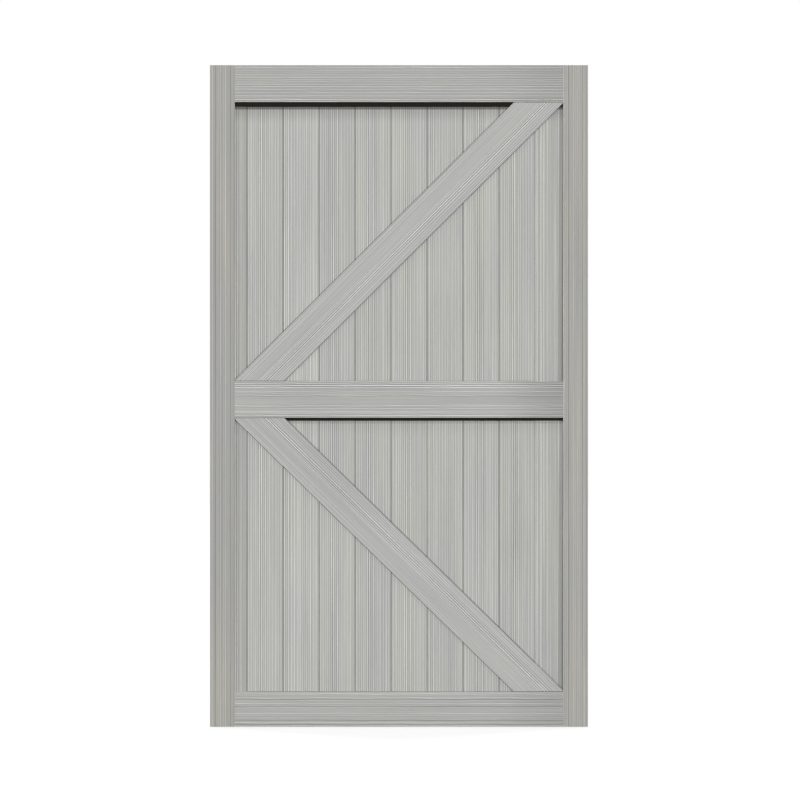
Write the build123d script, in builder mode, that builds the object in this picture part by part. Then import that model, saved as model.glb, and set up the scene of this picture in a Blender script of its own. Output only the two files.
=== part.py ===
from build123d import *

import os
from math import atan2, ceil, degrees, hypot

# Barn door leaf: two stiles and three rails, mortised and tenoned, frame two panels of
# tongued and grooved boards. A dark metal channel holds the heads of the boards under each
# upper rail, and one flat brace on each panel makes the K that the door shows from the front.
# X runs across the door, Y from its front to its back and Z up. The origin is the middle of
# the top edge, where the door hangs. Every size is in millimetres.

# The door as a whole
door_width = 1219.2
door_height = 2133.6
frame_thickness = 38.0

# Stiles and rails
stile_width = 80.0
top_rail_height = 119.0
mid_rail_height = 118.0
bottom_rail_height = 113.0
upper_opening_height = 900.0
arris_radius = 1.5
end_chamfer = 1.0

# Tenons of the rails and their mortises in the stiles
tenon_thickness = 12.0
tenon_length = 45.0
tenon_shoulder = 20.0
mortise_gap = 0.2

# Boards of the two panels
panel_setback = 9.5
board_thickness = 15.0
board_width = 115.8
board_gap = 0.4
first_board_width = 39.0
narrowest_last_board = 30.0
v_chamfer = 1.5
tongue_thickness = 5.0
tongue_length = 8.0
tongue_gap = 0.2
lip_width = 12.5
lip_setback = 3.0
lip_lean = 6.0
stile_tongue_thickness = 4.5

# Groove that the boards stand in, along the stiles and the top edges of two rails
groove_depth = 12.0
board_seat = 10.0
groove_gap = 0.2

# Head channels of dark metal, the upper one a heavier section
upper_channel_height = 14.5
upper_channel_wall = 4.0
lower_channel_height = 9.7
lower_channel_wall = 1.5
channel_bevel_share = 0.6
channel_top_gap = 0.3

# Braces
brace_width = 114.0
brace_foot = 155.0
brace_fit = 0.3
brace_end_chamfer = 1.5

# Levels that follow from the sizes above
frame_front = -frame_thickness / 2
board_face = frame_front + panel_setback
board_middle = board_face + board_thickness / 2
board_pitch = board_width + board_gap
half_opening = door_width / 2 - stile_width
groove_width = board_thickness + 2 * groove_gap
brace_thickness = panel_setback
upper_opening_top = -top_rail_height
upper_opening_bottom = upper_opening_top - upper_opening_height
lower_opening_top = upper_opening_bottom - mid_rail_height
lower_opening_bottom = -door_height + bottom_rail_height

# Top and height of each rail
rails = {
    "top_rail": (0.0, top_rail_height),
    "mid_rail": (upper_opening_bottom, mid_rail_height),
    "bottom_rail": (lower_opening_bottom, bottom_rail_height),
}

# Top and bottom of each opening
openings = {
    "upper": (upper_opening_top, upper_opening_bottom),
    "lower": (lower_opening_top, lower_opening_bottom),
}

# Height and wall of each head channel
channels = {
    "upper": (upper_channel_height, upper_channel_wall),
    "lower": (lower_channel_height, lower_channel_wall),
}


def make_stile(side):
    """A full-height stile, left for side -1 and right for side 1, mortised and grooved."""
    inner_edge = side * half_opening
    middle = side * (half_opening + stile_width / 2)
    with BuildPart() as stile:
        with BuildSketch(Plane.XY.offset(-door_height)):
            with Locations((middle, 0)):
                RectangleRounded(stile_width, frame_thickness, arris_radius)
        extrude(amount=door_height)
        ends = stile.faces().sort_by(Axis.Z)
        chamfer(ends[0].edges() + ends[-1].edges(), end_chamfer)

        # The mortises, each a little larger than its tenon
        with BuildSketch(Plane.YZ.offset(inner_edge)):
            for top, height in rails.values():
                with Locations((0, top - height / 2)):
                    Rectangle(
                        tenon_thickness + 2 * mortise_gap,
                        height - 2 * tenon_shoulder + 2 * mortise_gap,
                    )
        extrude(amount=side * (tenon_length + mortise_gap), mode=Mode.SUBTRACT)

        # The groove for the boards, from the lowest mortise to the highest
        groove_bottom = lower_opening_bottom - tenon_shoulder
        groove_top = upper_opening_top + tenon_shoulder
        with BuildSketch(Plane.XY.offset(groove_bottom)):
            with Locations((inner_edge, board_middle)):
                Rectangle(2 * groove_depth, groove_width)
        extrude(amount=groove_top - groove_bottom, mode=Mode.SUBTRACT)
    return stile.part


def make_rail(top, height, grooved):
    """A rail with a tenon at each end and, where boards stand on it, a groove in its top edge."""
    middle = top - height / 2
    with BuildPart() as rail:
        with BuildSketch(Plane.YZ.offset(-half_opening)):
            with Locations((0, middle)):
                RectangleRounded(frame_thickness, height, arris_radius)
        extrude(amount=2 * half_opening)
        with BuildSketch(Plane.YZ.offset(-half_opening - tenon_length)):
            with Locations((0, middle)):
                Rectangle(tenon_thickness, height - 2 * tenon_shoulder)
        extrude(amount=2 * (half_opening + tenon_length))
        if grooved:
            with BuildSketch(Plane.YZ.offset(-half_opening)):
                with Locations((board_middle, top)):
                    Rectangle(groove_width, 2 * groove_depth)
            extrude(amount=2 * half_opening, mode=Mode.SUBTRACT)
    return rail.part


def make_channel(top, height, wall):
    """A head channel, open downwards, that runs from stile to stile under its rail."""
    outer_width = groove_width + 2 * wall
    with BuildPart() as channel:
        with BuildSketch(Plane.YZ.offset(-half_opening)):
            with Locations((board_middle, top)):
                Rectangle(outer_width, height, align=(Align.CENTER, Align.MAX))
            with Locations((board_middle, top - wall)):
                Rectangle(
                    groove_width,
                    height,
                    align=(Align.CENTER, Align.MAX),
                    mode=Mode.SUBTRACT,
                )
        extrude(amount=2 * half_opening)

        # The lower outer arris of each leg is bevelled over most of the wall
        for leg in (channel.faces().sort_by(Axis.Y)[0], channel.faces().sort_by(Axis.Y)[-1]):
            lower_arris = leg.edges().filter_by(Axis.X).sort_by(Axis.Z)[0]
            chamfer(lower_arris, channel_bevel_share * wall)
    return channel.part


def make_board(left, right, top, bottom, first, last):
    """A board whose face runs from left to right, grooved on its left and tongued on its right.

    The first board has a square left edge that stands in the stile. The last one ends in two
    steps, a lip that shows beside the stile and a thin tongue that stands in it. Both lean away
    from the stile towards the foot, so a tapered shadow opens between the lip and the stile.
    """
    body_left = left - board_seat if first else left
    body_right = half_opening + board_seat if last else right
    width = body_right - body_left
    with BuildPart() as board:
        with BuildSketch(Plane((body_left, board_face, bottom))) as section:
            Rectangle(width, board_thickness, align=(Align.MIN, Align.MIN))
            corners = section.vertices().group_by(Axis.X)
            if not first:
                chamfer(corners[0], v_chamfer)
                with Locations((0, board_thickness / 2)):
                    Rectangle(
                        2 * (tongue_length - board_gap + tongue_gap),
                        tongue_thickness + 2 * tongue_gap,
                        mode=Mode.SUBTRACT,
                    )
            if not last:
                chamfer(corners[-1], v_chamfer)
                with Locations((width, board_thickness / 2)):
                    Rectangle(2 * tongue_length, tongue_thickness)
        extrude(amount=top - bottom)

        if last:
            tongue_depth = board_thickness - stile_tongue_thickness
            for step_right, depth in ((right, lip_setback), (half_opening, tongue_depth)):
                with BuildSketch(Plane.XZ.offset(-board_face)):
                    with BuildLine():
                        Polyline(
                            (step_right, top),
                            (body_right, top),
                            (body_right, bottom),
                            (step_right - lip_lean, bottom),
                            close=True,
                        )
                    make_face()
                extrude(amount=-depth, mode=Mode.SUBTRACT)
            leaning_edge = board.faces().sort_by(Axis.Y)[0].edges().sort_by(Axis.X)[-1]
            chamfer(leaning_edge, v_chamfer)
    return board.part


def board_faces():
    """Left and right of each board's face: a ripped one, full boards, and what is left over."""
    first_right = -half_opening + first_board_width
    last_right = half_opening - lip_width
    run = last_right - first_right - board_gap
    full_boards = ceil((run - narrowest_last_board) / board_pitch) - 1
    faces = [(-half_opening, first_right)]
    for _ in range(full_boards):
        left = faces[-1][1] + board_gap
        faces.append((left, left + board_width))
    faces.append((faces[-1][1] + board_gap, last_right))
    return faces


def make_brace(top, bottom, channel_height, channel_wall, rise):
    """A flat brace from rail to rail on the face of the boards, flush with the frame.

    It climbs to the right for rise 1 and falls to the right for rise -1. Its back is rebated
    at the upper end to clear the head channel.
    """
    height = top - bottom
    run = 2 * half_opening - brace_foot
    angle = rise * degrees(atan2(height, run))

    # The space that the brace fills in its opening, eased round the front
    with BuildPart() as space:
        with BuildSketch(Plane.XZ.offset(-board_face)):
            with Locations((0, (top + bottom) / 2)):
                Rectangle(2 * (half_opening - brace_fit), height - 2 * brace_fit)
        extrude(amount=brace_thickness)
        chamfer(space.faces().sort_by(Axis.Y)[0].edges(), brace_end_chamfer)

    with BuildPart() as brace:
        with BuildSketch(Plane.XZ.offset(-board_face)):
            with Locations((0, (top + bottom) / 2)):
                Rectangle(hypot(height, run) + 2 * brace_foot, brace_width, rotation=angle)
        extrude(amount=brace_thickness)
        long_edges = brace.faces().sort_by(Axis.Y)[0].edges().sort_by(SortBy.LENGTH)[-2:]
        fillet(long_edges, arris_radius)

        # The ends are sawn to the opening after the long edges are eased
        add(space.part, mode=Mode.INTERSECT)

        # The rebate that clears the head channel
        rebate_depth = channel_wall + groove_gap + brace_fit
        with BuildSketch(Plane.XZ.offset(-board_face)):
            with Locations((0, top)):
                Rectangle(2 * half_opening, 2 * (channel_height + brace_fit))
        extrude(amount=rebate_depth, mode=Mode.SUBTRACT)
    return brace.part


def save(piece, name):
    """Label a finished piece and write it under its name."""
    piece.label = name
    export_step(piece, f"parts/{name}.step")


os.makedirs("parts", exist_ok=True)

save(make_stile(-1), "left_stile")
save(make_stile(1), "right_stile")

for rail_name, (rail_top, rail_height) in rails.items():
    save(make_rail(rail_top, rail_height, rail_name != "top_rail"), rail_name)

for panel, (opening_top, opening_bottom) in openings.items():
    channel_height, channel_wall = channels[panel]
    save(make_channel(opening_top, channel_height, channel_wall), f"{panel}_head_channel")

    faces = board_faces()
    for number, (face_left, face_right) in enumerate(faces, start=1):
        piece = make_board(
            face_left,
            face_right,
            opening_top - channel_wall - channel_top_gap,
            opening_bottom - board_seat,
            number == 1,
            number == len(faces),
        )
        save(piece, f"{panel}_board_{number:02d}")

    rise = 1 if panel == "upper" else -1
    piece = make_brace(opening_top, opening_bottom, channel_height, channel_wall, rise)
    save(piece, f"{panel}_brace")
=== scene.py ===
# %% [markdown]
# # A combed barn door leaf
# The door is a frame of two stiles and three rails. It holds two panels of upright boards, and
# a flat brace crosses each panel so that the front shows a K. The joinery is already cut in the
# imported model. This lesson gives every piece its combed face, its grain and its grey stain.

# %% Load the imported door
import math
import random

import bmesh
import bpy
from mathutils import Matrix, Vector


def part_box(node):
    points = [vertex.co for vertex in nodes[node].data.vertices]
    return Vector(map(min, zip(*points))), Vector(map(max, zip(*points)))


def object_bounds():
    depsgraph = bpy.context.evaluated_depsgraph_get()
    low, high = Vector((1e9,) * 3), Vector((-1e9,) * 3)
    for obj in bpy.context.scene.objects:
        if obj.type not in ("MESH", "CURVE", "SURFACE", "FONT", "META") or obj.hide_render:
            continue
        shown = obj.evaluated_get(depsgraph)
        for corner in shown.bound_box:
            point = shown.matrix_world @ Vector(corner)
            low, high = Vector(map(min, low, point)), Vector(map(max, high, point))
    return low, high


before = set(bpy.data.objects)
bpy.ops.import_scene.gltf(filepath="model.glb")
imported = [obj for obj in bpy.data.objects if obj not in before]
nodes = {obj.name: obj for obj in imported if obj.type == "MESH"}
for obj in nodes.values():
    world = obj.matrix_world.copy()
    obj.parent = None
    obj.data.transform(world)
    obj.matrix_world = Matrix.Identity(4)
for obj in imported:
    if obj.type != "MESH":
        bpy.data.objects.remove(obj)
cad_low, cad_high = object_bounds()
print("door", [round(size, 4) for size in cad_high - cad_low], "m in", len(nodes), "pieces")

# %% [markdown]
# ## Which piece is which
# The pieces fall into families by name. Each family has its own grain direction and its own
# stain, so the families are sorted out once and used all through the lesson.

# %% Sort the pieces into families
stiles = [name for name in nodes if name.endswith("stile")]
rails = [name for name in nodes if name.endswith("rail")]
braces = [name for name in nodes if name.endswith("brace")]
boards = sorted(name for name in nodes if "_board_" in name)
channels = [name for name in nodes if name.endswith("channel")]
family_of = {name: "board" if name in boards else name.rsplit("_", 1)[-1] for name in nodes}
board_number = {name: int(name.rsplit("_", 1)[-1]) for name in boards}
print(len(boards), "boards,", len(stiles + rails), "frame members,", len(braces), "braces")

# %% [markdown]
# ## The way the grain runs
# Grain follows the length of each piece: upright in stiles and boards, level in rails and
# slanted in braces. A brace has no level edge to go by, so its direction is read from its
# longest edge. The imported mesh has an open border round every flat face, and a border edge is
# never one of the diagonals that cut a face into triangles.

# %% Find each piece's direction
UP = Vector((0, 0, 1))
SIDEWAYS = Vector((1, 0, 0))
THROUGH = Vector((0, 1, 0))


def slant_of(name):
    """Unit vector along a brace, pointing down."""
    outline = bmesh.new()
    outline.from_mesh(nodes[name].data)
    borders = [edge for edge in outline.edges if edge.is_boundary]
    longest = max(borders, key=lambda edge: edge.calc_length())
    direction = longest.verts[1].co - longest.verts[0].co
    outline.free()
    return (direction if direction.z < 0 else -direction).normalized()


along = {name: UP for name in stiles + boards}
along.update({name: SIDEWAYS for name in rails})
along.update({name: slant_of(name) for name in braces})
for name in braces:
    print(name, "slants", round(math.degrees(math.asin(-along[name].z)), 1), "degrees from level")

# %% [markdown]
# ## Strong lines
# A combed face comes off the moulder with narrow lines along it. Most of them stand up between
# two grooves, and a few are sunk. A bump map could fake that, but lines in the mesh also show at
# the sawn ends and at a low angle. So each face gets a list of lines across its width, each with
# a place and a height. The strong ones repeat from board to board, because a whole run of boards
# passes the same cutter head. The first board of each panel was ripped from a wider one, so it
# has lines of its own.

# %% Write down the strong lines
MM = 0.001

# The lines of each cutter head: millimetres from the edge that the lines are counted from, and
# height from 0, as deep as a groove, to 1, the top of the highest line
FIRST_HEAD = (
    (6.2, 0.65), (15.9, 0.72), (22.3, 0.62), (29.3, 0.7), (41.7, 0.98), (48.2, 1.0),
    (61.1, 0.97), (74, 0.7), (83.6, 0.58), (93.3, 0.7), (103, 0.72),
)
SECOND_HEAD = (
    (6.3, 0.95), (18.9, 1.0), (28.3, 0.8), (38.6, 0.8), (48.3, 0.7), (57.5, 0.58),
    (64.4, 0.72), (76.6, 0.88), (90.2, 0.85), (100, 0.6), (109.5, 0.72),
)
RIPPED_HEAD = ((2.5, 1.0), (9, 0.9), (18.5, 0.6), (22.5, 0.6), (29, 0.6))
LEFT_STILE_HEAD = ((8.5, 0.6), (18, 0.12), (34, 0.65), (50, 0.7), (66, 0.12), (75, 0.25))
RIGHT_STILE_HEAD = (
    (2.4, 1.0), (8.5, 0.7), (18, 0.12), (34, 0.65), (47.5, 0.65), (62.8, 0.12),
    (67.5, 0.65), (75, 0.25),
)
TOP_HEAD = (
    (7, 0.8), (17, 0.6), (30, 0.65), (40, 0.65), (52, 0.6), (69, 0.8), (78, 0.7),
    (88, 0.7), (98, 0.65), (110.5, 0.95), (116.2, 0.75),
)
MIDDLE_HEAD = (
    (7, 0.75), (14, 1.0), (20, 1.0), (33, 0.75), (45, 0.75), (78, 0.75), (88, 0.65),
    (99, 0.65), (110.5, 0.9),
)
FOOT_HEAD = (
    (7.5, 0.7), (25, 0.05), (38, 0.7), (48, 0.0), (70, 0.7), (77, 0.55), (93, 0.05),
    (106, 0.0),
)
BRACE_HEAD = (
    (7, 0.65), (13.5, 0.7), (20, 0.6), (28.5, 0.65), (36, 1.0), (42.5, 0.98), (49.5, 0.6),
    (55.5, 0.8), (88, 0.6), (106, 0.65),
)

# Boards by their number from the left; all the others came from the first head
RIPPED_BOARD = 1
SECOND_HEAD_BOARDS = (3, 7, 10)

heads = {"left_stile": LEFT_STILE_HEAD, "right_stile": RIGHT_STILE_HEAD}
heads.update(top_rail=TOP_HEAD, mid_rail=MIDDLE_HEAD, bottom_rail=FOOT_HEAD)
heads.update({name: BRACE_HEAD for name in braces})
for name, number in board_number.items():
    if number == RIPPED_BOARD:
        heads[name] = RIPPED_HEAD
    else:
        heads[name] = SECOND_HEAD if number in SECOND_HEAD_BOARDS else FIRST_HEAD
print("strong lines on", len(heads), "pieces,", len(FIRST_HEAD), "of them on a full board")

# %% [markdown]
# ## Weak lines
# Between the strong lines the comb left weaker ones, and these differ on every piece. They are
# drawn by chance, at an uneven pace across the face, and left out close to a strong line.

# %% Choose the lines of a face
LINE_STEP = 3.0 * MM
CLEAR_OF_LINE = 4.2 * MM

# The first step across a face and every later one are drawn from these shares of LINE_STEP
FIRST_STEP = (0.5, 1.5)
NEXT_STEP = (0.3, 1.0)

# Lowest and highest of the weak lines of each family
WEAK = {"stile": (0.35, 0.6), "rail": (0.3, 0.7), "brace": (0.42, 0.65), "board": (0.42, 0.6)}


def comb_lines(width, head, weak_heights, chance):
    """Lines across a face, as (place, height), from the first to the last."""
    lines = [(place * MM, height) for place, height in head if place * MM < width]
    place = chance.uniform(*FIRST_STEP) * LINE_STEP
    while place < width:
        if min(abs(place - line[0]) for line in lines) > CLEAR_OF_LINE:
            lines.append((place, chance.uniform(*weak_heights)))
        place += chance.uniform(*NEXT_STEP) * LINE_STEP
    return sorted(lines)


trial = comb_lines(116 * MM, FIRST_HEAD, WEAK["board"], random.Random(1))
print(len(trial), "lines on a full board, weak ones included")

# %% [markdown]
# ## The section of a face
# Every line has two crest edges. Between two lines lie a groove, when they stand close, or two
# grooves with plain wood between. The groove beside a high line is wide and deep, because the
# comb pressed hard there, and beside a sunk line there is none.

# %% Draw the section of a combed face
# Heights run from 0 to 1 over the relief, and plain wood lies at a height between
RELIEF = 0.7 * MM
PLAIN = 0.4

# Half the width of a crest, the width of the slope beside it, and the groove beyond
CREST = 1.1 * MM
FLANK = 0.5 * MM
WIDEST_GROOVE = 1.4 * MM
NARROWEST_SHARE = 0.45
SHALLOWEST_FLOOR = 0.6 * PLAIN
FLOOR_SPREAD = 0.1

# The line number of a point that belongs to no line
NO_LINE = -1


def groove_beside(height, chance):
    """Width and floor of the groove beside a line, wide and deep beside a high one."""
    if height <= PLAIN:
        return WIDEST_GROOVE / 2, PLAIN
    strength = (height - PLAIN) / (1 - PLAIN)
    width = WIDEST_GROOVE * (NARROWEST_SHARE + (1 - NARROWEST_SHARE) * strength)
    return width, SHALLOWEST_FLOOR * (1 - strength) + chance.uniform(0, FLOOR_SPREAD)


def section_of(lines, start, end, chance):
    """Points across a face as (place, height, line number)."""
    edges = [(start, PLAIN, NO_LINE)]
    for number, (place, height) in enumerate(lines):
        edges += [(place - CREST, height, number), (place + CREST, height, number)]
    edges.append((end, PLAIN, NO_LINE))
    points = []
    for here, there in zip(edges, edges[1:]):
        points.append(here)
        if here[2] == there[2] != NO_LINE:
            continue
        gap = there[0] - here[0]
        first_width, first_floor = groove_beside(here[1], chance)
        last_width, last_floor = groove_beside(there[1], chance)
        if gap > 4 * FLANK + first_width + last_width:
            points += [
                (here[0] + FLANK, first_floor, NO_LINE),
                (here[0] + FLANK + first_width, first_floor, NO_LINE),
                (here[0] + 2 * FLANK + first_width, PLAIN, NO_LINE),
                (there[0] - 2 * FLANK - last_width, PLAIN, NO_LINE),
                (there[0] - FLANK - last_width, last_floor, NO_LINE),
                (there[0] - FLANK, last_floor, NO_LINE),
            ]
        elif gap > 2 * FLANK:
            points += [
                (here[0] + FLANK, first_floor, NO_LINE),
                (there[0] - FLANK, first_floor, NO_LINE),
            ]
    return points + [edges[-1]]


print(len(section_of(trial, 0.0, 116 * MM, random.Random(1))), "points across that board")

# %% [markdown]
# ## From a section to rows
# The section is repeated at stations along the piece. On the way the lines wander a little
# sideways, and swell or fade, as they do where the comb met harder wood. Rows of such points are
# easy to write with a loop and easy to join into faces.

# %% Lay out the rows of one combed face
# The sway runs ahead by this many radians for each metre across, so lines wander differently
SWAY_TURN = 90

# How much a line swells or fades, and the range of the lengths over which it does, in metres
SWELL = 0.2
SWELL_WAVE = (0.12, 0.4)


def drift(place, wave, phase):
    """A slow wander from -1 to 1 that never quite repeats."""
    return 0.6 * math.sin(place / wave + phase) + 0.4 * math.sin(2.7 * place / wave + 2 * phase)


def comb_rows(stations, section, sway, sway_wave, chance):
    """For each station, a row of (place across, height) that follows the section."""
    sway_phase = chance.uniform(0, math.tau)
    swells = {
        number: (chance.uniform(*SWELL_WAVE), chance.uniform(0, math.tau))
        for _, _, number in section
    }
    rows = []
    for station in stations:
        row = []
        for place, height, number in section:
            strength = 1 - SWELL + SWELL * drift(station, *swells[number])
            shift = sway * drift(station, sway_wave, sway_phase + SWAY_TURN * place)
            row.append((place + shift, PLAIN + strength * (height - PLAIN)))
        rows.append(row)
    return rows


# %% [markdown]
# ## The rows of one piece
# Lines are counted from the left edge of a stile or a board, from the top of a rail and from the
# right edge of a brace. A first board stands with its left edge in the stile's groove, so its
# lines are counted from the stile's inner edge, where its face starts. Most other boards sat a
# little to one side as they passed the cutters. The lines of the rails wander most.

# %% Lay out the rows of a piece
MARGIN = 4 * MM
SWAY = {"stile": 0.3 * MM, "rail": 1.1 * MM, "brace": 0.3 * MM, "board": 0.3 * MM}
SWAY_WAVE = {"stile": 0.16, "rail": 0.045, "brace": 0.16, "board": 0.16}

# How far the lines of each board, by its number, lie to the right of the head's own places
BOARD_SHIFT = dict.fromkeys((2, 3, 4, 5), -1.5 * MM) | dict.fromkeys((6, 7, 8, 9), 1.0 * MM)

ripped_boards = [name for name in boards if board_number[name] == RIPPED_BOARD]
face_left = {name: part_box("left_stile")[1].x for name in ripped_boards}


def span(node, direction):
    """Lowest and highest place of a node along a direction."""
    places = [vertex.co.dot(direction) for vertex in node.data.vertices]
    return min(places), max(places)


def piece_rows(name, stations, first, last, chance):
    """The combed rows of one face of a piece, from its first edge to its last."""
    family = family_of[name]
    counted_from = face_left.get(name, first + MARGIN)
    counted_from += BOARD_SHIFT.get(board_number.get(name), 0.0)
    lines = comb_lines(last - MARGIN - counted_from, heads[name], WEAK[family], chance)
    lines = [(counted_from + place, height) for place, height in lines]
    section = section_of(lines, first, last, chance)
    return comb_rows(stations, section, SWAY[family], SWAY_WAVE[family], chance)


print("faces of the ripped boards start at x", [round(x, 4) for x in face_left.values()], "m")

# %% [markdown]
# ## A comb block for each piece
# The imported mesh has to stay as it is, so the relief is not modelled on it. A closed block is
# built round each piece instead, with the rows above as its front and its back. A Boolean
# modifier then keeps what the block and the piece share: the block trims half a millimetre off
# the flat faces, and every groove, tenon and chamfer below them stays. The block is hidden.

# %% Build a comb block
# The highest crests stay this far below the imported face
SKIN = 0.03 * MM
STATION = 25 * MM


def close_block(sheet, front, back):
    """Join a block's front and back along its two sides and at its two ends."""
    for step in range(len(front) - 1):
        for edge in (0, -1):
            sheet.faces.new((
                front[step][edge],
                front[step + 1][edge],
                back[step + 1][edge],
                back[step][edge],
            ))
    for end_row in (0, -1):
        sheet.faces.new(front[end_row] + back[end_row][::-1])
    bmesh.ops.recalc_face_normals(sheet, faces=sheet.faces)


def comb_block(name, combed_sides, chance):
    """A closed block whose front, and back where it is combed, carry the lines of one piece."""
    node, length_way = nodes[name], along[name]
    width_way = THROUGH.cross(length_way)
    start, end = span(node, length_way)
    first, last = span(node, width_way)
    start, end, first, last = start - MARGIN, end + MARGIN, first - MARGIN, last + MARGIN
    count = math.ceil((end - start) / STATION)
    stations = [start + (end - start) * step / count for step in range(count + 1)]

    sheet = bmesh.new()
    sides = []
    for side in (-1, 1):
        surface = side * span(node, side * THROUGH)[1]
        if side in combed_sides:
            rows, lift = piece_rows(name, stations, first, last, chance), -SKIN - RELIEF
        else:
            rows, lift = [[(first, 0), (last, 0)] for _ in stations], MARGIN
        grid = []
        for station, row in zip(stations, rows):
            grid.append([
                sheet.verts.new(
                    length_way * station
                    + width_way * place
                    + THROUGH * (surface + side * (lift + RELIEF * height))
                )
                for place, height in row
            ])
        for here, there in zip(grid, grid[1:]):
            for step in range(len(here) - 1):
                sheet.faces.new((here[step], here[step + 1], there[step + 1], there[step]))
        sides.append(grid)
    close_block(sheet, *sides)

    mesh = bpy.data.meshes.new(f"{name}_comb_block")
    sheet.to_mesh(mesh)
    sheet.free()
    block = bpy.data.objects.new(f"{name}_comb_block", mesh)
    bpy.context.scene.collection.objects.link(block)
    block.hide_render = True
    block.hide_viewport = True
    return block


# %% [markdown]
# ## Smooth lines
# The trimmed mesh comes out faceted. A small Geometry Nodes modifier makes it smooth, apart
# from edges sharper than thirty degrees, so that lines shade as round and corners stay crisp.

# %% Geometry nodes that smooth below an angle
SHARP_ANGLE = math.radians(30)

smoothing = bpy.data.node_groups.new("Smooth below an angle", "GeometryNodeTree")
smoothing.interface.new_socket("Geometry", in_out="INPUT", socket_type="NodeSocketGeometry")
smoothing.interface.new_socket("Geometry", in_out="OUTPUT", socket_type="NodeSocketGeometry")
group_in = smoothing.nodes.new("NodeGroupInput")
group_out = smoothing.nodes.new("NodeGroupOutput")
forget = smoothing.nodes.new("GeometryNodeRemoveAttribute")
forget.inputs["Name"].default_value = "custom_normal"
smooth_faces = smoothing.nodes.new("GeometryNodeSetShadeSmooth")
smooth_edges = smoothing.nodes.new("GeometryNodeSetShadeSmooth")
smooth_edges.domain = "EDGE"
edge_angle = smoothing.nodes.new("GeometryNodeInputMeshEdgeAngle")
is_blunt = smoothing.nodes.new("FunctionNodeCompare")
is_blunt.operation = "LESS_THAN"
is_blunt.inputs["B"].default_value = SHARP_ANGLE
for source, target in (
    (group_in.outputs["Geometry"], forget.inputs["Geometry"]),
    (forget.outputs["Geometry"], smooth_faces.inputs["Geometry"]),
    (smooth_faces.outputs["Geometry"], smooth_edges.inputs["Geometry"]),
    (edge_angle.outputs["Unsigned Angle"], is_blunt.inputs["A"]),
    (is_blunt.outputs["Result"], smooth_edges.inputs["Shade Smooth"]),
    (smooth_edges.outputs["Geometry"], group_out.inputs["Geometry"]),
):
    smoothing.links.new(source, target)
print("group", smoothing.name, "has", len(smoothing.nodes), "nodes")

# %% [markdown]
# ## Combing every timber
# The Boolean needs closed meshes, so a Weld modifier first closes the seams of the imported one.
# Frame and boards are combed on both sides. A brace lies on the boards, so its back stays plain.

# %% Comb every timber
COMB_SEED = 100
SEAM = 0.001 * MM

block_faces = 0
for number, name in enumerate(sorted(along)):
    combed_sides = (-1,) if name in braces else (-1, 1)
    block = comb_block(name, combed_sides, random.Random(COMB_SEED + number))
    block_faces += len(block.data.polygons)
    weld = nodes[name].modifiers.new("closed seams", "WELD")
    weld.merge_threshold = SEAM
    trim = nodes[name].modifiers.new("comb relief", "BOOLEAN")
    trim.operation = "INTERSECT"
    trim.solver = "MANIFOLD"
    trim.object = block
    nodes[name].modifiers.new("smooth lines", "NODES").node_group = smoothing
print(len(along), "timbers combed with", block_faces, "block faces")

# %% [markdown]
# ## Helpers for shader nodes
# The wood needs many small sums. These helpers keep each sum on one line: a value may be a
# number or the output of another node, and the helper either sets it or links it.

# %% Node helpers


def feed(tree, socket, value):
    """Link a node's output to a socket, or set a plain value on it."""
    if isinstance(value, bpy.types.NodeSocket):
        tree.links.new(value, socket)
    elif value is not None:
        socket.default_value = value


def calc(tree, operation, *values, clamp=False):
    """A Math node's result."""
    node = tree.nodes.new("ShaderNodeMath")
    node.operation = operation
    node.use_clamp = clamp
    for socket, value in zip(node.inputs, values):
        feed(tree, socket, value)
    return node.outputs[0]


def vector_calc(tree, operation, *values):
    """A Vector Math node's result: a number for a dot product, else a vector."""
    node = tree.nodes.new("ShaderNodeVectorMath")
    node.operation = operation
    if operation == "SCALE":
        feed(tree, node.inputs[0], values[0])
        feed(tree, node.inputs["Scale"], values[1])
    else:
        for socket, value in zip(node.inputs, values):
            feed(tree, socket, value)
    return node.outputs["Value" if operation == "DOT_PRODUCT" else "Vector"]


def ramp(tree, value, low, high, new_low=0.0, new_high=1.0):
    """A value carried smoothly from one range to another."""
    node = tree.nodes.new("ShaderNodeMapRange")
    node.interpolation_type = "SMOOTHSTEP"
    for socket, given in zip(node.inputs, (value, low, high, new_low, new_high)):
        feed(tree, socket, given)
    return node.outputs["Result"]


def blend(tree, factor, first, second):
    """A mix of two colours."""
    node = tree.nodes.new("ShaderNodeMix")
    node.data_type = "RGBA"
    for key, value in (("Factor_Float", factor), ("A_Color", first), ("B_Color", second)):
        socket = next(item for item in node.inputs if item.identifier == key)
        feed(tree, socket, value)
    return next(item for item in node.outputs if item.identifier == "Result_Color")


def noise(tree, vector, detail=2.0, roughness=0.5):
    """Noise from 0 to 1 whose grain is one unit of the vector wide."""
    node = tree.nodes.new("ShaderNodeTexNoise")
    node.inputs["Scale"].default_value = 1.0
    node.inputs["Detail"].default_value = detail
    node.inputs["Roughness"].default_value = roughness
    feed(tree, node.inputs["Vector"], vector)
    return node.outputs["Fac"]


def new_group(name, inputs, outputs):
    """An empty shader group with named sockets, and its two end nodes."""
    tree = bpy.data.node_groups.new(name, "ShaderNodeTree")
    for socket_name, kind, default in inputs:
        kind = f"NodeSocket{kind}"
        socket = tree.interface.new_socket(socket_name, in_out="INPUT", socket_type=kind)
        socket.default_value = default
    for socket_name, kind in outputs:
        kind = f"NodeSocket{kind}"
        tree.interface.new_socket(socket_name, in_out="OUTPUT", socket_type=kind)
    given = tree.nodes.new("NodeGroupInput").outputs
    result = tree.nodes.new("NodeGroupOutput").inputs
    return tree, given, result


def place_group(tree, group, **values):
    """Put a group into a tree, with values for its inputs, and return its outputs."""
    node = tree.nodes.new("ShaderNodeGroup")
    node.node_tree = group
    for key, value in values.items():
        feed(tree, node.inputs[key.replace("_", " ")], value)
    return node.outputs


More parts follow.
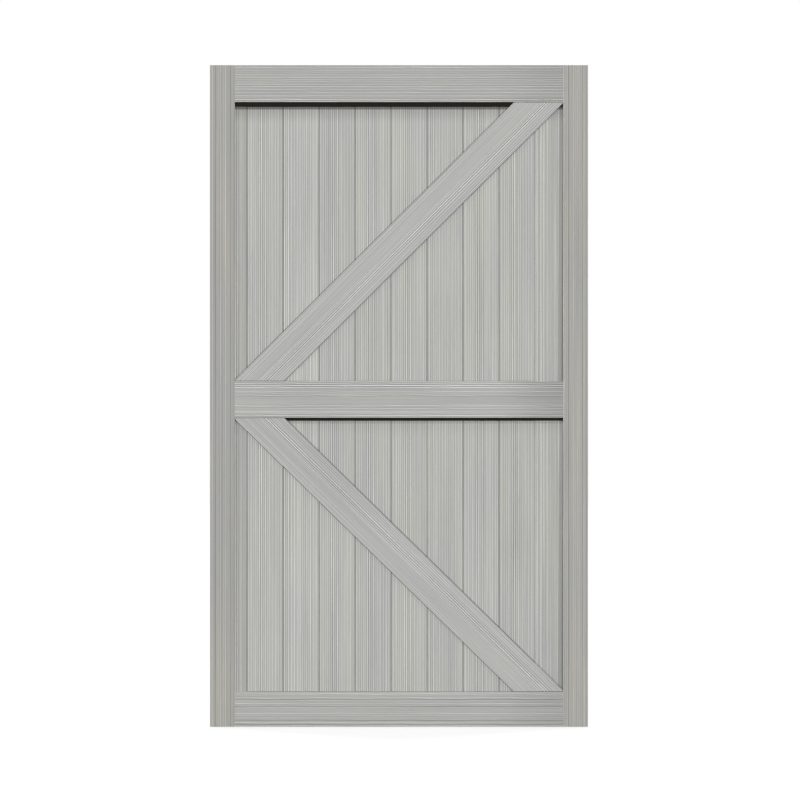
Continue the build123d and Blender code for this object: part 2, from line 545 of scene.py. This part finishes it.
def coordinate(tree, kind):
    """Where the shaded point lies, for Object, or which way it faces, for Normal."""
    return tree.nodes.new("ShaderNodeTexCoord").outputs[kind]


def property_of_piece(tree, name, output="Fac"):
    """A custom property of the object that is being shaded."""
    node = tree.nodes.new("ShaderNodeAttribute")
    node.attribute_type = "OBJECT"
    node.attribute_name = name
    return node.outputs[output]


# %% [markdown]
# ## Grain space
# All wood effects are stretched along the piece. Instead of a texture map for each piece, this
# group turns the object's own coordinates: its first number runs across the grain, its second
# through the wood and its third along the grain. A seed carries each piece to a part of the
# pattern of its own, so that no two boards are alike.

# %% Group: grain space
SEED_SHIFT = (3.1, 1.7, 5.3)

grain_space, given, result = new_group(
    "Grain space", [("Along", "Vector", UP), ("Seed", "Float", 0.0)], [("Vector", "Vector")]
)
tree = grain_space
place = coordinate(tree, "Object")
across = vector_calc(tree, "CROSS_PRODUCT", THROUGH, given["Along"])
turned = tree.nodes.new("ShaderNodeCombineXYZ")
for axis, direction in (("X", across), ("Y", THROUGH), ("Z", given["Along"])):
    feed(tree, turned.inputs[axis], vector_calc(tree, "DOT_PRODUCT", place, direction))
shift = vector_calc(tree, "SCALE", SEED_SHIFT, given["Seed"])
feed(tree, result["Vector"], vector_calc(tree, "ADD", turned.outputs["Vector"], shift))
print("group", tree.name, "has", len(tree.nodes), "nodes")

# %% [markdown]
# ## Comb height
# The stain is thin on the lines and pools in the hollows, so a line is paler than the wood
# beside it, and the same colour paints a highlight on the crests and shade in the hollows.
# Colour that is painted beside the mesh would slip off the lines. This group reads the relief
# itself: how far the surface lies below the flat face gives the height, from 0 in a hollow to 1
# on a crest. The face mask keeps it off the edges and the chamfers, and the arris mask finds
# those. The recess mask, for the boards alone, finds what lies deep in a joint, for painted
# shade.

# %% Group: comb height
# How squarely a surface has to face the front or the back, where 0 is an edge and 1 the face
FACE_TURN = (0.78, 0.88)
ARRIS_RISE = (0.1, 0.5)
ARRIS_FALL = (0.78, 0.9)

# How far below the face the wood counts as deep in a joint
JOINT_DEPTH = (4 * MM, 6 * MM)

comb_height, given, result = new_group(
    "Comb height",
    [("Centre", "Float", 0.0), ("Half", "Float", (cad_high.y - cad_low.y) / 2)],
    [("Height", "Float"), ("Face", "Float"), ("Arris", "Float"), ("Recess", "Float")],
)
tree = comb_height
through = vector_calc(tree, "DOT_PRODUCT", coordinate(tree, "Object"), THROUGH)
off_centre = calc(tree, "ABSOLUTE", calc(tree, "SUBTRACT", through, given["Centre"]))
below = calc(tree, "SUBTRACT", calc(tree, "SUBTRACT", given["Half"], SKIN), off_centre)
height = calc(tree, "SUBTRACT", 1.0, calc(tree, "DIVIDE", below, RELIEF), clamp=True)
facing = vector_calc(tree, "DOT_PRODUCT", coordinate(tree, "Normal"), THROUGH)
facing = calc(tree, "ABSOLUTE", facing)
rising = ramp(tree, facing, *ARRIS_RISE)
falling = ramp(tree, facing, *ARRIS_FALL, 1.0, 0.0)
feed(tree, result["Height"], height)
feed(tree, result["Recess"], ramp(tree, below, *JOINT_DEPTH))
feed(tree, result["Face"], ramp(tree, facing, *FACE_TURN))
feed(tree, result["Arris"], calc(tree, "MULTIPLY", rising, falling))
print("group", tree.name, "has", len(tree.nodes), "nodes")

# %% [markdown]
# ## Grain
# Planed softwood shows long streaks a few millimetres wide, fine fibres, short dark flecks and
# a slow change of tone. Each is noise, stretched by its own width and length in grain space.

# %% Group: grain
grain, given, result = new_group(
    "Grain",
    [
        ("Vector", "Vector", (0, 0, 0)),
        ("Streak Width", "Float", 3.5 * MM),
        ("Streak Length", "Float", 500 * MM),
    ],
    [("Streaks", "Float"), ("Fibres", "Float"), ("Flecks", "Float"), ("Tone", "Float")],
)
tree = grain


def stretched(width, length, detail, roughness=0.5):
    """Noise in grain space with marks of that width and length."""
    size = tree.nodes.new("ShaderNodeCombineXYZ")
    for axis, value in (("X", width), ("Y", width), ("Z", length)):
        feed(tree, size.inputs[axis], value)
    scaled = vector_calc(tree, "DIVIDE", given["Vector"], size.outputs["Vector"])
    return noise(tree, scaled, detail, roughness)


streaks = stretched(given["Streak Width"], given["Streak Length"], detail=2.0)
fibres = stretched(width=0.7 * MM, length=45 * MM, detail=3.0, roughness=0.6)
flecks = stretched(width=0.9 * MM, length=14 * MM, detail=1.0)
slow_tone = stretched(width=45 * MM, length=600 * MM, detail=2.0)
feed(tree, result["Streaks"], ramp(tree, streaks, 0.28, 0.72))
feed(tree, result["Fibres"], ramp(tree, fibres, 0.25, 0.75))
feed(tree, result["Flecks"], ramp(tree, flecks, 0.66, 0.78))
feed(tree, result["Tone"], ramp(tree, slow_tone, 0.3, 0.7))
print("group", tree.name, "has", len(tree.nodes), "nodes")

# %% [markdown]
# ## Painted shade, painted shadow and stain
# Some places are painted darker: painted shade in corners and joints, painted shadow on the
# boards along their brace and right under a head channel, and a thicker stain towards the right
# end of each rail. Each place gets a function that puts out a factor, where 1 leaves the wood
# alone and less than 1 darkens it. Each piece carries properties of its own, such as its painted
# corner shade, and Attribute nodes read them, so that all boards can share one material.

# %% Factors that darken the wood
# Wood gets full painted corner shade up to the first share of open space within reach, and
# none at all from the second share on
CORNER_REACH = 2 * MM
CORNER_SAMPLES = 6
OPEN_SHARE = (0.45, 0.95)

# Painted shadow fades out over this band beside the brace
SHADOW_ABOVE_BRACE = 0.5
SHADOW_BELOW_BRACE = 0.2
BRACE_SHADOW_BAND = (0.5 * MM, 4.5 * MM)

# Painted shadow fades out over this band under a channel, and its tail over the whole reach
SHADOW_BAND = (6 * MM, 13.5 * MM)
SHADOW_TAIL = 0.35
SHADOW_REACH = 60 * MM

# Where along X, in metres, a rail starts to darken and is darkest
SHADED_END = (0.27, 0.56)


def corner_painted_shade(tree):
    """A factor that paints shade into grooves and joints, and paints light there when the value
    is below 0.
    """
    node = tree.nodes.new("ShaderNodeAmbientOcclusion")
    node.samples = CORNER_SAMPLES
    node.inputs["Distance"].default_value = CORNER_REACH
    shelter = ramp(tree, node.outputs["AO"], *OPEN_SHARE, 1.0, 0.0)
    painted_corner_shade = calc(tree, "MULTIPLY", shelter, property_of_piece(tree, "painted_corner_shade"))
    return calc(tree, "SUBTRACT", 1.0, painted_corner_shade)


def brace_painted_shadow(tree):
    """A factor that paints shadow on a board's front along its brace, darker on the upper side.
    """
    facing = vector_calc(tree, "DOT_PRODUCT", coordinate(tree, "Normal"), -THROUGH)
    in_front = ramp(tree, facing, 0.0, 0.2)
    brace_across = property_of_piece(tree, "brace_across", "Vector")
    across = vector_calc(tree, "DOT_PRODUCT", coordinate(tree, "Object"), brace_across)
    from_middle = calc(tree, "SUBTRACT", across, property_of_piece(tree, "brace_middle"))
    half_width = property_of_piece(tree, "brace_half")
    from_edge = calc(tree, "SUBTRACT", calc(tree, "ABSOLUTE", from_middle), half_width)
    in_corner = ramp(tree, from_middle, 0.0, 1 * MM, SHADOW_BELOW_BRACE, SHADOW_ABOVE_BRACE)
    near_edge = ramp(tree, from_edge, *BRACE_SHADOW_BAND, in_corner, 0.0)
    return calc(tree, "SUBTRACT", 1.0, calc(tree, "MULTIPLY", in_front, near_edge))


def channel_stain(tree):
    """A factor that paints shadow on a board under its head channel, in a short band and a soft
    tail.
    """
    height = vector_calc(tree, "DOT_PRODUCT", coordinate(tree, "Object"), UP)
    depth = calc(tree, "SUBTRACT", property_of_piece(tree, "channel_edge"), height)
    band = ramp(tree, depth, *SHADOW_BAND, 1.0, 0.0)
    tail = ramp(tree, depth, 0.0, SHADOW_REACH, SHADOW_TAIL, 0.0)
    deeper = calc(tree, "MAXIMUM", band, tail)
    stain = calc(tree, "MULTIPLY", property_of_piece(tree, "stain"), deeper)
    return calc(tree, "SUBTRACT", 1.0, stain)


def end_shade(tree):
    """A factor for a rail towards its right end, where the stain lies thicker."""
    right = vector_calc(tree, "DOT_PRODUCT", coordinate(tree, "Object"), SIDEWAYS)
    near_end = ramp(tree, right, *SHADED_END)
    shade = calc(tree, "MULTIPLY", near_end, property_of_piece(tree, "end_shade"))
    return calc(tree, "SUBTRACT", 1.0, shade)


# %% [markdown]
# ## End grain
# The stiles run full height, so their sawn ends show at the top and the foot of the door. An
# end shows year rings round the pith, not streaks. A wave texture draws the rings, and both
# stiles share it, because the place is measured from the middle of the door on either side.

# %% Year rings on a sawn end
RING_WIDTH = 3.2 * MM
PITH = (0.552, 0.034, 0.0)
RING_WAVER = {"Distortion": 1.2, "Detail": 2.0, "Detail Scale": 0.6}
DARK_RING, PALE_RING = 0.45, 0.8


def end_grain(tree, colour, warm):
    """The same colour, but with year rings where the surface is a sawn end."""
    from_middle = vector_calc(tree, "ABSOLUTE", coordinate(tree, "Object"))
    rings = tree.nodes.new("ShaderNodeTexWave")
    rings.wave_type = "RINGS"
    rings.rings_direction = "Z"
    rings.wave_profile = "SAW"
    rings.inputs["Scale"].default_value = 1 / (RING_WIDTH * math.tau)
    for key, value in RING_WAVER.items():
        rings.inputs[key].default_value = value
    feed(tree, rings.inputs["Vector"], vector_calc(tree, "SUBTRACT", from_middle, PITH))
    dark = tuple(DARK_RING * channel for channel in warm[:3]) + (1.0,)
    pale = tuple(PALE_RING * channel for channel in warm[:3]) + (1.0,)
    ring_colour = blend(tree, rings.outputs["Fac"], pale, dark)
    facing_up = vector_calc(tree, "DOT_PRODUCT", coordinate(tree, "Normal"), UP)
    is_end = ramp(tree, calc(tree, "ABSOLUTE", facing_up), 0.8, 0.9)
    return blend(tree, is_end, colour, ring_colour)


# %% [markdown]
# ## Wood under a grey stain
# One function makes the stained wood of each family. It starts from a cool and a warm grey,
# mixed by the slow tone. A brightness then scales that colour: up on comb lines and down in
# hollows, as thinner stain and as painted highlight and shade, by each piece's own contrast,
# streaked and flecked by the grain, with painted shade and highlight along its arrises, and
# darkened by painted shade in corners and joints, by painted shadow along the brace and under
# the channel, and by the thicker stain towards a rail's right end.

# %% The stained wood material
# Brightness in a hollow, what the height adds to it, and what the height squared adds
HOLLOW_LEVEL = 0.66
SLOPE_GAIN = 0.59
CREST_GAIN = 0.65

# What the other masks change, as shares of the brightness
# Painted shade deep in a joint, as a share of the brightness
JOINT_PAINTED_SHADE = -0.85
STREAK_GAIN, FIBRE_GAIN, TONE_GAIN = 0.15, 0.12, 0.06
FLECK_DARKENS = -0.12
SMOOTHEST_WOOD, ROUGHER_STREAK = 0.64, 0.16
WOOD_SHEEN = 0.3
BUMP_STRENGTH = 0.5
BUMP_DEPTH = 0.15 * MM
FLECK_SINKS = 0.8


def wobble(tree, value, gain):
    """A factor round 1 that follows a value from 0 to 1."""
    return calc(tree, "MULTIPLY_ADD", calc(tree, "SUBTRACT", value, 0.5), gain, 1.0)


def fine_bump(tree, marks):
    """A normal that raises the fibres a little and sinks the flecks."""
    bump = tree.nodes.new("ShaderNodeBump")
    bump.inputs["Strength"].default_value = BUMP_STRENGTH
    bump.inputs["Distance"].default_value = BUMP_DEPTH
    sunk = calc(tree, "MULTIPLY", marks["Flecks"], FLECK_SINKS)
    feed(tree, bump.inputs["Height"], calc(tree, "SUBTRACT", marks["Fibres"], sunk))
    return bump.outputs["Normal"]


def stained_wood(name, member, greys, ends=False, shaded=False, in_panel=False):
    """Grey stained wood whose comb lines are read from the thickness of a member.

    Wood in a panel also takes painted shadow under the channel and beside the brace, and painted
    shade deep in its joints.
    """
    material = bpy.data.materials.new(name)
    material.use_nodes = True
    tree = material.node_tree
    shader = tree.nodes["Principled BSDF"]
    cool, warm = greys
    low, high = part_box(member)
    grain_way = property_of_piece(tree, "grain_way", "Vector")
    seed = property_of_piece(tree, "seed")
    space = place_group(tree, grain_space, Along=grain_way, Seed=seed)
    half = (high.y - low.y) / 2
    comb = place_group(tree, comb_height, Centre=(low.y + high.y) / 2, Half=half)
    marks = place_group(tree, grain, Vector=space["Vector"])

    # Comb height lifts the colour on crests and lowers it in hollows: thinner stain, and painted
    # highlight and shade
    curve = calc(tree, "MULTIPLY_ADD", comb["Height"], CREST_GAIN, SLOPE_GAIN)
    on_face = calc(tree, "MULTIPLY_ADD", comb["Height"], curve, HOLLOW_LEVEL)
    contrast = calc(tree, "MULTIPLY", comb["Face"], property_of_piece(tree, "contrast"))
    change = calc(tree, "MULTIPLY", contrast, calc(tree, "SUBTRACT", on_face, 1.0))
    level = calc(tree, "ADD", 1.0, change)
    factors = [
        wobble(tree, marks["Streaks"], STREAK_GAIN),
        wobble(tree, marks["Fibres"], FIBRE_GAIN),
        wobble(tree, marks["Tone"], TONE_GAIN),
        calc(tree, "MULTIPLY_ADD", marks["Flecks"], FLECK_DARKENS, 1.0),
        # painted shade on the arrises, and a painted highlight where the value is above 0
        calc(tree, "MULTIPLY_ADD", comb["Arris"], property_of_piece(tree, "arris"), 1.0),
        property_of_piece(tree, "tone"),
        # painted shade in corners, grooves and joints
        corner_painted_shade(tree),
    ]
    if shaded:
        factors.append(end_shade(tree))
    if in_panel:
        # Painted shade deep in a joint
        painted_joint_shade = calc(tree, "MULTIPLY_ADD", comb["Recess"], JOINT_PAINTED_SHADE, 1.0)
        # painted shadow under the head channel and along the brace
        factors += [painted_joint_shade, channel_stain(tree), brace_painted_shadow(tree)]
    for factor in factors:
        level = calc(tree, "MULTIPLY", level, factor)
    colour = vector_calc(tree, "SCALE", blend(tree, marks["Tone"], cool, warm), level)
    if ends:
        colour = end_grain(tree, colour, warm)
    roughness = calc(tree, "MULTIPLY_ADD", marks["Streaks"], ROUGHER_STREAK, SMOOTHEST_WOOD)
    feed(tree, shader.inputs["Base Color"], colour)
    feed(tree, shader.inputs["Roughness"], roughness)
    feed(tree, shader.inputs["Normal"], fine_bump(tree, marks))
    shader.inputs["Specular IOR Level"].default_value = WOOD_SHEEN
    return material


# %% [markdown]
# ## The stain of each family
# The boards are the palest, the braces a shade darker, the rails darker still, and the stiles
# the darkest and warmest. The rounded arrises of the frame get a little painted shade, and those
# of the braces and the sides of the V joints between boards get more.

# %% Assign the wood to the pieces
# A cool and a warm grey for each family
GREYS = {
    "stile": ((0.365, 0.362, 0.347, 1), (0.375, 0.367, 0.335, 1)),
    "rail": ((0.382, 0.382, 0.374, 1), (0.382, 0.381, 0.363, 1)),
    "brace": ((0.422, 0.422, 0.42, 1), (0.422, 0.42, 0.405, 1)),
    "board": ((0.455, 0.456, 0.443, 1), (0.455, 0.456, 0.426, 1)),
}

# How strongly the comb lines show, and how much painted light and shade the arrises and the
# corners get
CONTRAST = {"stile": 1.3, "rail": 1.2, "brace": 1.1, "board": 0.88}
ARRIS_PAINTED_LIGHT = {"stile": -0.2, "rail": -0.2, "brace": -0.55, "board": -0.55}
CORNER_PAINTED_SHADE = {"stile": 0.1, "rail": 0.3, "brace": 0.4, "board": 0.85}

# How far the tone of a piece may stray by chance
TONE_SPREAD = {"stile": 0.0, "rail": 0.0, "brace": 0.0, "board": 0.015}
SEED_RANGE = 10
TONE_SEED = 7

wood = {
    "stile": stained_wood("stile_wood", "left_stile", GREYS["stile"], ends=True),
    "rail": stained_wood("rail_wood", "top_rail", GREYS["rail"], shaded=True),
    "brace": stained_wood("brace_wood", "upper_brace", GREYS["brace"]),
    "board": stained_wood("board_wood", "upper_board_02", GREYS["board"], in_panel=True),
}
chance = random.Random(TONE_SEED)
for name in sorted(along):
    node, family = nodes[name], family_of[name]
    node.material_slots[0].material = wood[family]
    node["grain_way"] = tuple(along[name])
    node["seed"] = chance.uniform(0, SEED_RANGE)
    node["tone"] = 1 + chance.uniform(-1, 1) * TONE_SPREAD[family]
    node["contrast"] = CONTRAST[family]
    node["arris"] = ARRIS_PAINTED_LIGHT[family]
    node["painted_corner_shade"] = CORNER_PAINTED_SHADE[family]
print("stained", len(along), "pieces with", len(wood), "materials")

# %% [markdown]
# ## Pieces that differ from their family
# The first board of a panel is darker. The last one is darker too, with fainter lines and a
# painted highlight on the arris beside its gap. Both stand in narrow corners by a stile that
# turn too dark without help, so their painted corner shade is below 0 and paints light into the
# corners instead. The third board and two of the rails are a little paler, and a rail's stain is
# thickest on the middle one.

# %% Set each board and rail apart
PANEL_TONE = {"upper": 0.976, "lower": 0.972}
# Painted shadow under the head channel of each panel
CHANNEL_SHADOW = {"upper": 0.7, "lower": 0.28}
BOARD_TONE = {1: 0.86, 3: 1.07, 10: 0.9}
# A value below 0 for the painted corner shade paints light into the corner by a stile
BOARD_FINISH = {
    1: {"contrast": 0.9, "painted_corner_shade": -0.6},
    10: {"contrast": 0.62, "arris": 0.9, "painted_corner_shade": -0.7},
}
RAIL_TONE = {"top_rail": 1.0, "mid_rail": 1.08, "bottom_rail": 1.09}
END_SHADE = {"top_rail": 0.12, "mid_rail": 0.24, "bottom_rail": 0.12}

for name in boards:
    node, panel = nodes[name], name.split("_")[0]
    brace = f"{panel}_brace"
    brace_across = THROUGH.cross(along[brace])
    brace_across *= math.copysign(1, brace_across.z)
    brace_low, brace_high = span(nodes[brace], brace_across)
    node["tone"] *= PANEL_TONE[panel]
    node["tone"] *= BOARD_TONE.get(board_number[name], 1.0)
    node["stain"] = CHANNEL_SHADOW[panel]
    node["channel_edge"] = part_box(f"{panel}_head_channel")[0].z
    node["brace_across"] = tuple(brace_across)
    node["brace_middle"] = (brace_low + brace_high) / 2
    node["brace_half"] = (brace_high - brace_low) / 2
    for key, value in BOARD_FINISH.get(board_number[name], {}).items():
        node[key] = value
for name in rails:
    nodes[name]["tone"] = RAIL_TONE[name]
    nodes[name]["end_shade"] = END_SHADE[name]
upper_boards = [name for name in boards if name.startswith("upper")]
print("tones of the upper boards", [round(nodes[name]["tone"], 3) for name in upper_boards])

# %% [markdown]
# ## The head channels
# A dark metal channel holds the heads of the boards under the top rail and under the middle
# rail. It is painted a matt near-black. Paint is never quite even, so its colour and roughness
# vary a little, with a fine pebble in the bump and some grey dust where the surface faces up.

# %% The painted metal material
PATCH_SIZE = 40 * MM
PEBBLE_SIZE = 0.8 * MM
PAINT_DARK, PAINT_PALE = (0.0095, 0.0078, 0.004, 1), (0.0145, 0.012, 0.0065, 1)
DUST_COLOUR, DUST_COVER = (0.12, 0.115, 0.10, 1), 0.3
SMOOTHEST_PAINT, ROUGHER_PATCH = 0.55, 0.2
PAINT_SHEEN = 0.06
PEBBLE_STRENGTH = 0.3
PEBBLE_DEPTH = 0.05 * MM

paint = bpy.data.materials.new("channel_paint")
paint.use_nodes = True
tree = paint.node_tree
shader = tree.nodes["Principled BSDF"]
place = coordinate(tree, "Object")
patches = noise(tree, vector_calc(tree, "SCALE", place, 1 / PATCH_SIZE), 3.0)
pebble = noise(tree, vector_calc(tree, "SCALE", place, 1 / PEBBLE_SIZE), 1.0)
upward = vector_calc(tree, "DOT_PRODUCT", coordinate(tree, "Normal"), UP)
dust = calc(tree, "MULTIPLY", ramp(tree, upward, 0.3, 0.9), DUST_COVER)
coat = blend(tree, patches, PAINT_DARK, PAINT_PALE)
bump = tree.nodes.new("ShaderNodeBump")
bump.inputs["Strength"].default_value = PEBBLE_STRENGTH
bump.inputs["Distance"].default_value = PEBBLE_DEPTH
feed(tree, bump.inputs["Height"], pebble)
roughness = calc(tree, "MULTIPLY_ADD", patches, ROUGHER_PATCH, SMOOTHEST_PAINT)
feed(tree, shader.inputs["Base Color"], blend(tree, dust, coat, DUST_COLOUR))
feed(tree, shader.inputs["Roughness"], roughness)
feed(tree, shader.inputs["Normal"], bump.outputs["Normal"])
shader.inputs["Specular IOR Level"].default_value = PAINT_SHEEN
for name in channels:
    nodes[name].material_slots[0].material = paint
print("painted", ", ".join(sorted(channels)))

# %% [markdown]
# ## Floor and backdrop
# The door stands over a plain pale floor in soft studio light. The floor and the world are
# plain white to the camera, through Light Path, while the light that reaches the door stays at
# a level where a colour renders about as it is written. The floor's own glow is a little under
# white and the lamps lift it the rest of the way, so that the door keeps a faint shadow.

# %% Build the floor and the world
FLOOR_GAP = 2 * MM
FLOOR_REACH = 30.0
FLOOR_GREY = (0.35, 0.35, 0.35, 1)
FLOOR_GLOW = 0.75
SKY_LIGHT = 0.56

floor_level = cad_low.z - FLOOR_GAP
corners = [
    (x * FLOOR_REACH, y * FLOOR_REACH, floor_level)
    for x, y in ((-1, -1), (1, -1), (1, 1), (-1, 1))
]
floor_mesh = bpy.data.meshes.new("floor")
floor_mesh.from_pydata(corners, [], [(0, 1, 2, 3)])
floor = bpy.data.objects.new("floor", floor_mesh)
bpy.context.scene.collection.objects.link(floor)


def seen_directly(tree):
    """1 for a camera, glossy or transmission ray, and 0 for light that falls on the door."""
    path = tree.nodes.new("ShaderNodeLightPath").outputs
    mirrored = calc(tree, "MAXIMUM", path["Is Glossy Ray"], path["Is Transmission Ray"])
    return calc(tree, "MAXIMUM", path["Is Camera Ray"], mirrored)


pale = bpy.data.materials.new("pale_floor")
pale.use_nodes = True
tree = pale.node_tree
tree.nodes.remove(tree.nodes["Principled BSDF"])
matt = tree.nodes.new("ShaderNodeBsdfDiffuse")
matt.inputs["Color"].default_value = FLOOR_GREY
glow = tree.nodes.new("ShaderNodeEmission")
feed(tree, glow.inputs["Strength"], calc(tree, "MULTIPLY", seen_directly(tree), FLOOR_GLOW))
both = tree.nodes.new("ShaderNodeAddShader")
feed(tree, both.inputs[0], matt.outputs["BSDF"])
feed(tree, both.inputs[1], glow.outputs["Emission"])
feed(tree, tree.nodes["Material Output"].inputs["Surface"], both.outputs["Shader"])
floor_mesh.materials.append(pale)

world = bpy.data.worlds.new("studio")
bpy.context.scene.world = world
world.use_nodes = True
tree = world.node_tree
backdrop = tree.nodes["Background"]
backdrop.inputs["Color"].default_value = (1, 1, 1, 1)
sky = ramp(tree, seen_directly(tree), 0.0, 1.0, SKY_LIGHT, 1.0)
feed(tree, backdrop.inputs["Strength"], sky)
print("floor", round(FLOOR_GAP / MM, 1), "mm below the door")

# %% [markdown]
# ## Lamps
# A broad lamp stands in front of the door and a little above it, so that steps cast only a thin
# shadow. Two weaker lamps behind the door, one on each side, do the same for its edges and back.

# %% Place the lamps
LAMP_SPREAD = math.radians(12)

# The strength of each lamp and the way towards it from the door
LAMPS = {
    "front_lamp": (1.92, Vector((0.0, -1.0, 0.13))),
    "left_fill_lamp": (1.0, Vector((-1.0, 0.9, 0.6))),
    "right_fill_lamp": (1.0, Vector((1.0, 0.9, 0.6))),
}


def add_lamp(name, strength, direction):
    """A broad sun lamp that shines from a direction towards the door."""
    lamp_data = bpy.data.lights.new(name, "SUN")
    lamp_data.energy = strength
    lamp_data.angle = LAMP_SPREAD
    lamp = bpy.data.objects.new(name, lamp_data)
    lamp.rotation_euler = direction.to_track_quat("Z", "Y").to_euler()
    bpy.context.scene.collection.objects.link(lamp)
    elevation = math.degrees(math.asin(direction.normalized().z))
    print(name, "stands", round(elevation, 1), "degrees up")


for name, (strength, direction) in LAMPS.items():
    add_lamp(name, strength, direction)

# %% [markdown]
# ## Camera
# The door is seen square on from far away, so its edges stay parallel. The distance follows
# from the real width that the picture should span at the door's front.

# %% Place the camera
VIEW_WIDTH = 2.5798
LENS, SENSOR = 200.0, 36.0
FAR_LIMIT = 100.0

# How far the camera stands to the right of the door's middle and below it
ASIDE, BELOW = 0.0033, 0.0131

camera_data = bpy.data.cameras.new("camera")
camera_data.lens = LENS
camera_data.sensor_width = SENSOR
camera_data.clip_end = FAR_LIMIT
camera = bpy.data.objects.new("camera", camera_data)
distance = VIEW_WIDTH * LENS / SENSOR
middle = (cad_low + cad_high) / 2
camera.location = (middle.x + ASIDE, cad_low.y - distance, middle.z - BELOW)
camera.rotation_euler = (math.radians(90), 0, 0)
bpy.context.scene.collection.objects.link(camera)
bpy.context.scene.camera = camera
bpy.context.scene.view_settings.view_transform = "Standard"
print("camera stands", round(distance, 2), "m in front of the door")
